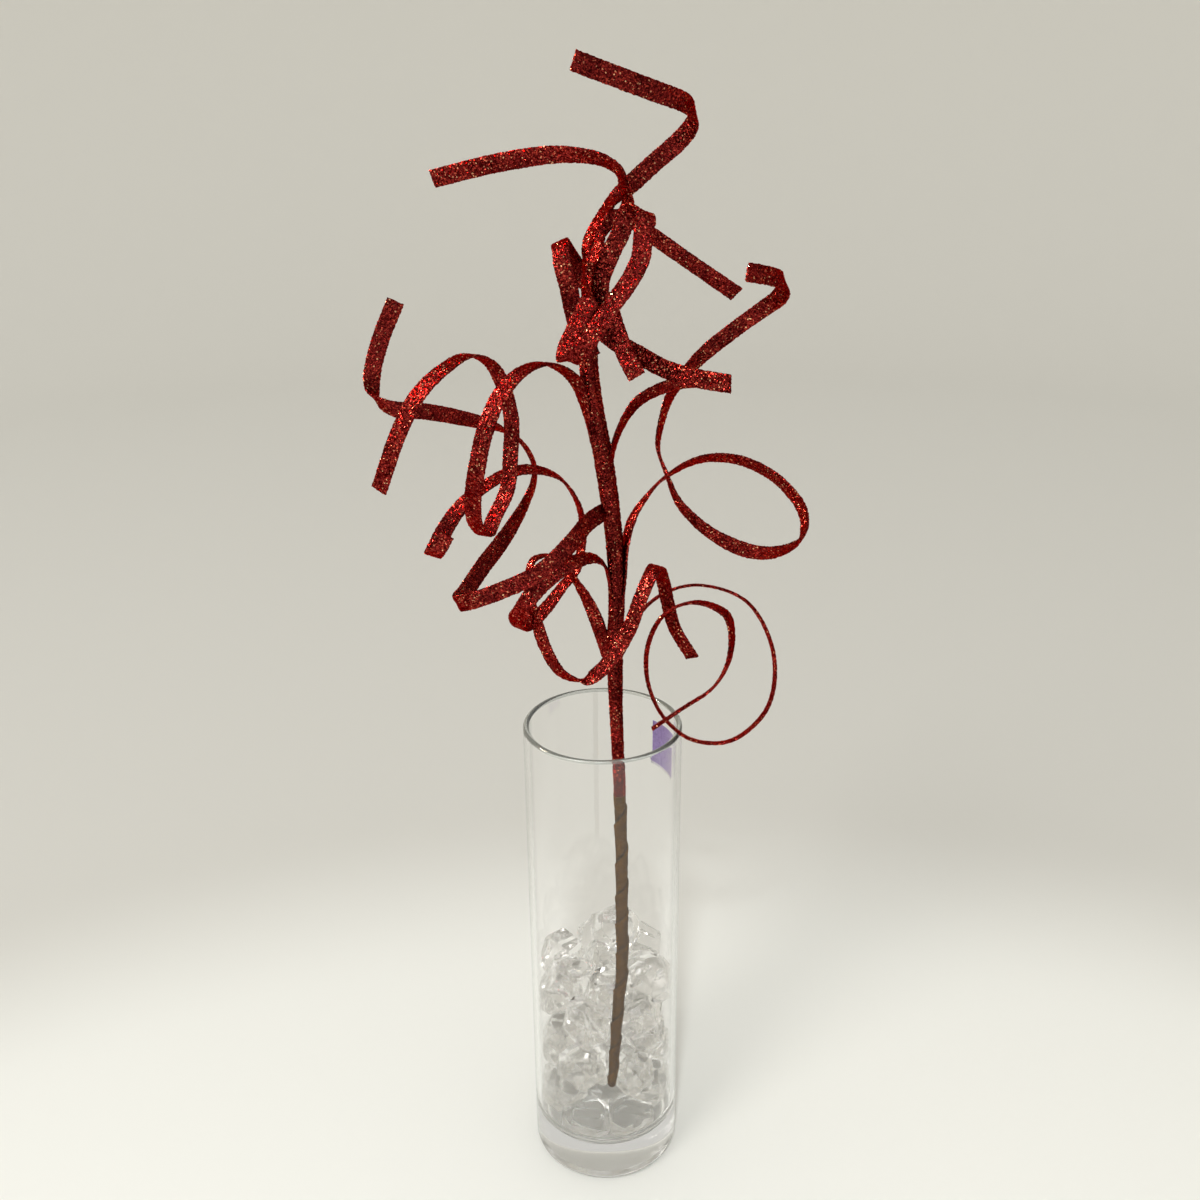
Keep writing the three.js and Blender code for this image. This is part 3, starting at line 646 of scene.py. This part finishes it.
# %% The strips' routes
STRIPS = {
    "strip_right_spiral": {
        "route": [
            [8, -19, 377], [15, -12, 393], [25, -2, 409], [39, 4, 418], [59, 3, 423], [87, -4, 415],
            [104, -9, 383], [101, -14, 348], [79, -18, 328], [55, -20, 330], [37, -22, 347],
            [27, -25, 374], [28, -28, 401], [38, -31, 420], [55, -34, 427], [72, -38, 420],
            [74, -41, 396], [65, -44, 378], [46, -47, 365], [29, -50, 354],
        ],
        "across": [[1, -10, 3.5], [0, -10, 4], [0, -10, 4], [-1, -10, 4], [-5.5, -10, 2], [-1, -10, 3]],
    },
    "strip_low_wrap": {
        "route": [
            [6, -17, 379], [-6, -15, 416], [-14, -13, 431], [-23, -14, 446], [-31, -16, 450],
            [-39, -20, 449], [-42, -22, 441], [-42, -24, 430], [-38, -27, 413], [-33, -30, 397],
            [-24, -34, 383], [-11, -38, 380], [-1, -40, 387], [6, -40, 396], [16, -42, 415],
            [22, -42, 433], [28, -38, 446], [32, -28, 447], [36, -16, 434], [39.5, -10, 416.5],
            [44, -8, 399.5], [55, -8, 380],
        ],
        "across": [
            [8.5, -5, 1], [8.5, -5, 1], [2, -9, 3], [4, -9, 1], [8, -6, 1], [7, -7, 3], [8, -6, 0],
            [7, -7, 0], [7.5, -6, 0], [7.5, -6, 2], [7, -5.5, 3.5],
        ],
    },
    "strip_mid_left_coil": {
        "route": [
            [6, -18, 421], [4.5, -19, 435.5], [2, -21, 445.5], [-5, -26, 452], [-18, -36, 452],
            [-29, -43, 447], [-40, -45, 436], [-46, -40, 425], [-50, -30, 415], [-47, -18, 405],
            [-36, -4, 409], [-25, 8, 419], [-15, 16, 430], [-12, 21, 442], [-11, 22, 457],
            [-15, 20, 473], [-24.5, 17, 487], [-39, 14, 493], [-53, 12, 492], [-67, 6, 486],
            [-80.5, 0, 476.5], [-89.5, -8, 466], [-95.5, -15, 456], [-97.5, -20, 452.5],
            [-94, -26, 457], [-88, -28, 467.5],
        ],
        "across": [
            [0, 10, 0], [-4, 9, 3], [-8, 1, 5], [-8, 7, 0], [-9, 5, 2], [-5, 8.5, 0], [-4.5, 9, 0],
            [-3, 9.5, -1], [-1, 9, 3], [-4, 8, 4], [-9.5, 1, 3], [-9.5, 1, 3],
        ],
    },
    "strip_zigzag": {
        "route": [
            [6, -14, 478], [-6.5, -31, 475.5], [-18, -50, 468], [-33, -58, 456], [-56, -56, 444],
            [-75.5, -50, 435], [-82, -42, 431.5], [-77, -34, 436], [-69, -22, 445], [-57, -2, 456],
            [-47.5, 14, 467.5], [-40.5, 25, 481], [-40, 29, 492], [-48, 28, 507], [-61, 24, 516],
            [-83, 14, 525], [-101, 4, 531], [-117, 0, 533.5], [-128, 6, 538], [-130.5, 13, 548],
            [-125, 16, 568], [-114, 14, 591.5],
        ],
        "across": [
            [-5, 0, 8.5], [-5, 0, 8.5], [-4, 0, 9], [-4, 1, 9], [-7, 0, 7], [-5, -8, 4], [0, -10, 0],
            [0, -5, 10], [-1, -2, 10], [-9, 0, 6], [-10, 0, 1],
        ],
    },
    "strip_right_loop": {
        "route": [
            [11, -19, 416], [13, -18, 436], [14, -16, 455], [18, -9, 469], [26.5, 1, 479.5],
            [38, 12, 488], [60, 24, 495.5], [82, 28, 494], [101.5, 20, 487], [114, 4, 477.5],
            [117.5, -12, 470.5], [114, -26, 462], [100.5, -36, 458.5], [85, -42, 460.5], [68, -44, 468],
            [54, -40, 477], [43, -34, 488], [37, -26, 501], [32.5, -14, 513], [35.5, 0, 526.5],
            [42, 14, 539], [58, 24, 556], [77.5, 28, 571], [95.5, 22, 585.5], [100.5, 10, 592.5],
            [100.5, -6, 603], [89.5, -18, 608], [78, -26, 611],
        ],
        "across": [
            [1, -10, 0], [4.5, -9, 2], [0, -8, 6], [0, -6, 8], [3, -6, 7], [0, -3.5, 9.4], [0, -7, 8],
            [-3.5, -9.5, 2], [-6, -2.5, 6], [-6, -1, 8], [0, 0, 10],
        ],
    },
    "strip_left_coil": {
        "route": [
            [-5, -15, 518], [-8, -16, 535], [-11, -20, 548], [-16, -28, 558], [-28, -42, 567],
            [-40, -56, 566], [-51, -66, 556], [-59, -70, 539], [-65, -66, 516], [-69, -54, 494],
            [-69, -44, 478.5], [-64.5, -34, 469.5], [-60.5, -24, 476], [-53.5, -14, 489],
            [-51, -8, 509], [-50, -8, 530], [-54, -14, 551], [-59.5, -20, 563], [-70, -28, 569],
            [-81, -38, 565], [-95.5, -44, 552.5], [-106.5, -44, 534], [-122.5, -36, 496.5],
        ],
        "across": [
            [0, 10, 0], [-10, 5, 0], [-10, 5, 0], [-10, 5, 0], [-10, 5, 0], [-10, 5, 0], [-10, 5, 0],
            [-10, 5, 0], [-10, 5, 0], [-10, 5, 0], [-10, 5, 0],
        ],
    },
    "strip_right_arc": {
        "route": [
            [4.5, -17, 485], [6, -15, 507], [11, -10, 523], [20.5, -4, 536.5], [31.5, 0, 542.5],
            [44, 3, 546], [57, 9, 546], [69, 17, 543],
        ],
        "across": [[-2, -10, 0], [-2, -6.5, 7.5], [0, -5, 9]],
    },
    "strip_right_short": {
        "route": [
            [-3, -8, 582], [7.5, -6, 572.5], [14.5, -8, 568.5], [23, -14, 565], [34, -24, 560.5],
            [50, -38, 558], [68, -54, 558],
        ],
        "across": [[9, 0, 5], [4, 0, 9], [0, 0, 10]],
    },
    "strip_crown_left_fold": {
        "route": [
            [-4, -14, 565], [-11, -17, 580], [-14, -20, 592], [-16, -25, 604], [-19, -26, 616],
            [-20, -22, 623.5], [-20.5, -12, 625.5], [-17.5, 2, 619], [-13, 10, 611], [-7, 13, 601],
            [0, 12, 594], [7, 1, 591], [7, -9, 587], [10, -17, 578], [14, -24, 568], [20, -30, 557],
        ],
        "across": [[10, -1, 2], [10, -1, 3], [8, -3.5, 4], [8.5, -1, 5], [8.5, -1, 5], [8.5, -1, 5]],
    },
    "strip_crown_loop": {
        "route": [
            [0, -13, 592], [1, -18, 606], [7, -22, 622], [12, -24, 632], [15, -27, 641], [19, -34, 644],
            [24, -42, 641.5], [22.5, -48, 633], [21, -53, 622], [15, -58, 611], [6, -60, 599],
            [-2, -60, 587], [-10, -56, 576], [-17, -48, 570], [-18, -42, 573], [-15, -38, 580],
            [-10, -33, 589], [-5, -28, 598],
        ],
        "across": [[9, -3, -3], [9, -2, -4.5], [8, -4, -4.5], [8.5, -5, 0], [10, -2, 0]],
    },
    "strip_crown_top": {
        "route": [
            [-3, -15, 589], [-7, -21, 603], [-7, -24, 614], [-6, -22, 624], [-2.5, -16, 632],
            [3, -8, 640], [9, 4, 646], [18, 12, 653], [29.5, 17, 662.5], [43, 18, 673.5],
            [49.5, 11, 681.5], [50.5, -2, 689], [44, -14, 694], [31, -24, 698.5], [9.5, -34, 706],
            [-11.5, -42, 713.5],
        ],
        "across": [
            [10, -5, 0], [1, -10, 0], [6, -8, 0], [4.5, -9, 0], [6, -1, -7.5], [6, 0, -7.5],
            [4, -2, -8.5], [0, 0, -10], [-3, 0, -9.5], [-3, 0, -9.5], [-3, 0, -9.5],
        ],
    },
    "strip_crown_left_arc": {
        "route": [
            [1, -10, 592], [1, -6, 604], [6, -1, 616], [11, 2, 627], [14, 0, 637], [16, -5, 644],
            [14, -10, 653], [10.5, -14, 661.5], [2.5, -13, 666.5], [-18, -4, 669], [-52, 14, 664.5],
            [-92, 36, 655],
        ],
        "across": [
            [10, -2, 0], [10, -3, -2], [9, -4, -3], [5, -8, 0], [0, -8, 6], [2, -7, 6], [1, -5, 8.5],
            [0, -3, 10], [0, -3, 10], [0, -3, 10], [0, -3, 10],
        ],
    },
    "strip_crown_right": {
        "route": [
            [-3, -7, 592], [-4, -1, 603], [-2, 4, 611], [-1, 12, 620], [1, 16, 628], [5, 19, 633],
            [13, 20, 635], [22, 19, 631], [32.5, 18, 623.5], [51, 22, 610.5], [79, 32, 591],
        ],
        "across": [
            [10, -2, 0], [6, -7, -1], [5, -7, -4], [1, 5, -8], [0, 4, -8.5], [-1, 5, -8], [-2, 5, -8],
            [-3, 4, -8],
        ],
    },
}
print(len(STRIPS), "routes,", sum(len(strip["route"]) for strip in STRIPS.values()), "points")

# %% [markdown]
# ## Even steps along a route
#
# A strip's cells should all be about as long, or its grains would look stretched on the long ones. They
# could follow the route's own points, but those are closer in some places than in others. So the smooth
# line through them is measured and divided again into even steps. The width's direction is blended from
# root to tip.

# %% Even steps along a route
def even_line(route, pitch):
    """Points spaced evenly along a route's smooth line, and the direction at each."""
    line = smooth_line(route)
    lengths = [0.0]
    for a, b in zip(line, line[1:]):
        lengths.append(lengths[-1] + (b - a).length)
    steps = round(lengths[-1] / pitch)
    places, headings = [], []
    span = 0
    for step in range(steps + 1):
        goal = lengths[-1] * step / steps
        while span < len(line) - 2 and lengths[span + 1] < goal:
            span += 1
        share = (goal - lengths[span]) / (lengths[span + 1] - lengths[span])
        places.append(line[span].lerp(line[span + 1], share))
    for step in range(steps + 1):
        ahead, behind = places[min(step + 1, steps)], places[max(step - 1, 0)]
        headings.append((ahead - behind).normalized())
    return places, headings


def across_at(directions, share):
    """The direction of the width, at a share of the way from root to tip."""
    last = len(directions) - 1
    index = min(int(share * last), last)
    low = Vector(directions[index]).normalized()
    high = Vector(directions[min(index + 1, last)]).normalized()
    return low.lerp(high, share * last - index)


# %% [markdown]
# ## Strips
#
# A curve with a flat profile would choose its own twist in the bends. So a strip starts as a flat plank, a
# grid extruded to its thickness, and is then bent along its route, as the real one was. The edges are a
# little thinner than the middle, and each point is pushed at random, so that the facets and the edges are
# as rough as a coat of glitter.

# %% Strips
STRIP_WIDTH = 9.5
STRIP_THICKNESS = 1.6
STRIP_PITCH = 0.8
WIDTH_CELLS = 12
EDGE_BULGE = 0.3
EDGE_THINNING = 0.3


def make_plank(cells):
    """A plank with x from 0 to 1 along it, y from -1 to 1 across it and z from -1 to 1 through it."""
    shape = bmesh.new()
    bmesh.ops.create_grid(shape, x_segments=cells, y_segments=WIDTH_CELLS, size=1)
    lifted = bmesh.ops.extrude_face_region(shape, geom=shape.faces[:], use_keep_orig=True)
    top = [item for item in lifted["geom"] if isinstance(item, bmesh.types.BMVert)]
    bmesh.ops.translate(shape, verts=shape.verts, vec=(0, 0, -1))
    bmesh.ops.translate(shape, verts=top, vec=(0, 0, 2))
    uprights = [edge for edge in shape.edges if abs(edge.verts[0].co.z - edge.verts[1].co.z) > 1]
    bmesh.ops.subdivide_edges(shape, edges=uprights, cuts=1, use_grid_fill=True)
    return shape


def bend_strip(route, directions):
    places, headings = even_line(route, STRIP_PITCH)
    steps = len(places) - 1
    frames = []
    for step, (place, heading) in enumerate(zip(places, headings)):
        across = across_at(directions, step / steps)
        across = (across - heading * across.dot(heading)).normalized()
        frames.append((place, heading, across, across.cross(heading)))
    shape = make_plank(steps)
    for corner in in_order(shape):
        along, sideways, through = corner.co
        place, heading, across, outward = frames[round((along + 1) / 2 * steps)]
        bulge = EDGE_BULGE if abs(through) < 0.5 else 0
        wide = sideways * STRIP_WIDTH / 2 + math.copysign(bulge, sideways) * (abs(sideways) > 0.99)
        thick = through * STRIP_THICKNESS / 2 * (1 - EDGE_THINNING * sideways ** 6)
        corner.co = (
            place + across * (wide + grain()) + outward * (thick + grain()) + heading * grain()
        ) * MM
    bmesh.ops.recalc_face_normals(shape, faces=shape.faces)
    bmesh.ops.triangulate(shape, faces=shape.faces)
    return shape


strip_total = 0
for strip_name, strip in STRIPS.items():
    shape = bend_strip(strip["route"], strip["across"])
    piece = add_piece("glitter_" + strip_name, shape, glitter, [strip_name], False)
    strip_total += triangles(piece)
print(len(STRIPS), "strips,", strip_total, "triangles")

# %% [markdown]
# ## Ice rocks
#
# The rocks are lumps of clear acrylic moulded to look like crushed ice: facets with soft edges and shallow
# hollows. Each could be carved afresh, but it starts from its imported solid, so that it fits in the heap.
# Its edges are bevelled, it is cut finer and smoothed, and a noise then dents it. A clear rock hardly
# shades its neighbours, and its plain shadow would be far too dark, so the rocks cast none.

# %% Ice rocks
ROCK_BEVEL = 2.4 * MM
ROCK_SMOOTHING = 4
DENT = 0.7 * MM
DENT_MIDDLE = 0.4
DENT_SIZE = 9 * MM


def make_rock(name):
    shape = bmesh.new()
    shape.from_mesh(nodes_of_frame[name].data)
    bmesh.ops.remove_doubles(shape, verts=shape.verts, dist=MERGE)
    bmesh.ops.dissolve_limit(shape, angle_limit=math.radians(1), verts=shape.verts, edges=shape.edges)
    bmesh.ops.bevel(
        shape, geom=shape.edges, offset=ROCK_BEVEL, offset_type="OFFSET", affect="EDGES",
        segments=3, profile=0.5, material=-1, clamp_overlap=True,
    )
    bmesh.ops.triangulate(shape, faces=shape.faces)
    bmesh.ops.subdivide_edges(shape, edges=shape.edges, cuts=1, use_grid_fill=True)
    for _ in range(ROCK_SMOOTHING):
        bmesh.ops.smooth_vert(
            shape, verts=shape.verts, factor=0.5, use_axis_x=True, use_axis_y=True, use_axis_z=True,
        )
    shape.normal_update()
    for corner in shape.verts:
        depth = DENT * (noise.noise(corner.co / DENT_SIZE) - DENT_MIDDLE)
        corner.co += corner.normal * depth
    bmesh.ops.recalc_face_normals(shape, faces=shape.faces)
    return shape


rock_names = sorted(name for name in nodes_of_frame if name.startswith("ice_rock"))
rock_total = 0
for rock_name in rock_names:
    piece = add_piece("clear_" + rock_name, make_rock(rock_name), clear_ice, [rock_name], True)
    piece.visible_shadow = False
    rock_total += triangles(piece)
print(len(rock_names), "rocks,", rock_total, "triangles")

# %% [markdown]
# ## Floor
#
# The stage is a pale floor that sweeps up into a low wall all round, so that no horizon line shows from any
# side. A plane with a curved back would hide it from one side only, so this one is spun, as the vase is.

# %% Floor
FLOOR_RADIUS = 2.6
SWEEP_RADIUS = 1.1
WALL_TOP = 2.2
FLOOR_DROP = 0.2 * MM
FLOOR_SIDES = 96


def make_floor():
    shape = bmesh.new()
    reach = FLOOR_RADIUS + SWEEP_RADIUS
    chain = draw_outline(shape, [(0, -FLOOR_DROP), (reach, -FLOOR_DROP), (reach, WALL_TOP - FLOOR_DROP)])
    round_corner(shape, chain[1], SWEEP_RADIUS, 16)
    spin_outline(shape, FLOOR_SIDES)
    return shape


floor_finish = Finish("pale_floor", Base_Color=(0.84, 0.83, 0.79, 1), Roughness=0.7)
floor_mesh = bpy.data.meshes.new("floor")
floor_shape = make_floor()
floor_shape.to_mesh(floor_mesh)
floor_shape.free()
floor_mesh.shade_smooth()
floor_mesh.materials.append(floor_finish.material)
floor = bpy.data.objects.new("floor", floor_mesh)
scene.collection.objects.link(floor)
print("floor", triangles(floor), "triangles")

# %% [markdown]
# ## Light
#
# The sky gives an even light from all round. A large soft key light stands at the upper left. The vase's
# shadow would be too dark for clear glass, so a weaker copy of that light passes the vase freely. A spot
# lays a bright pool on the floor, and a small warm light from the left makes the glitter flash. That one is
# kept off the floor, where it would show as a warm patch. A picture of a studio could light it all at once,
# but then no light could be changed or linked on its own.

# %% Light
SKY_COLOUR = (1.0, 0.985, 0.93, 1)
SKY_STRENGTH = 0.585
KEY_PLACE = (-1.9, -2.1, 3.2)
KEY_AIM = (0, 0, 0.4)
THROUGH_ENERGY = 7
POOL_AIM = (0, -0.935, 0)
SIDE_AIM = (0, 0, 0.52)

world = bpy.data.worlds.new("sky")
world.use_nodes = True
world.node_tree.nodes["Background"].inputs["Color"].default_value = SKY_COLOUR
world.node_tree.nodes["Background"].inputs["Strength"].default_value = SKY_STRENGTH
scene.world = world

key = bpy.data.lights.new("key_light", "AREA")
key.shape = "DISK"
key.size = 1.5
key.energy = 43
key.color = (1.0, 0.98, 0.94)
through = key.copy()
through.name = "through_light"
through.energy = THROUGH_ENERGY
pool = bpy.data.lights.new("floor_light", "SPOT")
pool.shadow_soft_size = 0.09
pool.spot_size = math.radians(64)
pool.spot_blend = 0.08
pool.energy = 73
pool.color = (0.94, 0.99, 1.0)
side = bpy.data.lights.new("side_light", "AREA")
side.shape = "DISK"
side.size = 0.3
side.spread = math.radians(17)
side.energy = 1.0
side.color = (1.0, 0.86, 0.64)


def place_light(light, place, aim):
    lamp = bpy.data.objects.new(light.name, light)
    lamp.location = place
    lamp.rotation_euler = (Vector(aim) - Vector(place)).to_track_quat("-Z", "Y").to_euler()
    scene.collection.objects.link(lamp)
    return lamp


def all_but(piece, name):
    """A collection for light linking, which leaves out one object."""
    linked = bpy.data.collections.new(name)
    linked.objects.link(piece)
    linked.collection_objects[0].light_linking.link_state = "EXCLUDE"
    return linked


place_light(key, KEY_PLACE, KEY_AIM)
through_lamp = place_light(through, KEY_PLACE, KEY_AIM)
side_lamp = place_light(side, (-1.6, 0.3, 1.5), SIDE_AIM)
place_light(pool, (-0.1, -1.3, 1.7), POOL_AIM)
through_lamp.light_linking.blocker_collection = all_but(vase, "clear_pieces")
side_lamp.light_linking.receiver_collection = all_but(floor, "stage_pieces")
scene.view_settings.view_transform = "Standard"
scene.cycles.max_bounces = 64
scene.cycles.transmission_bounces = 64
scene.cycles.glossy_bounces = 12
print("key light", key.energy, "W, floor light", pool.energy, "W, side light", side.energy, "W")
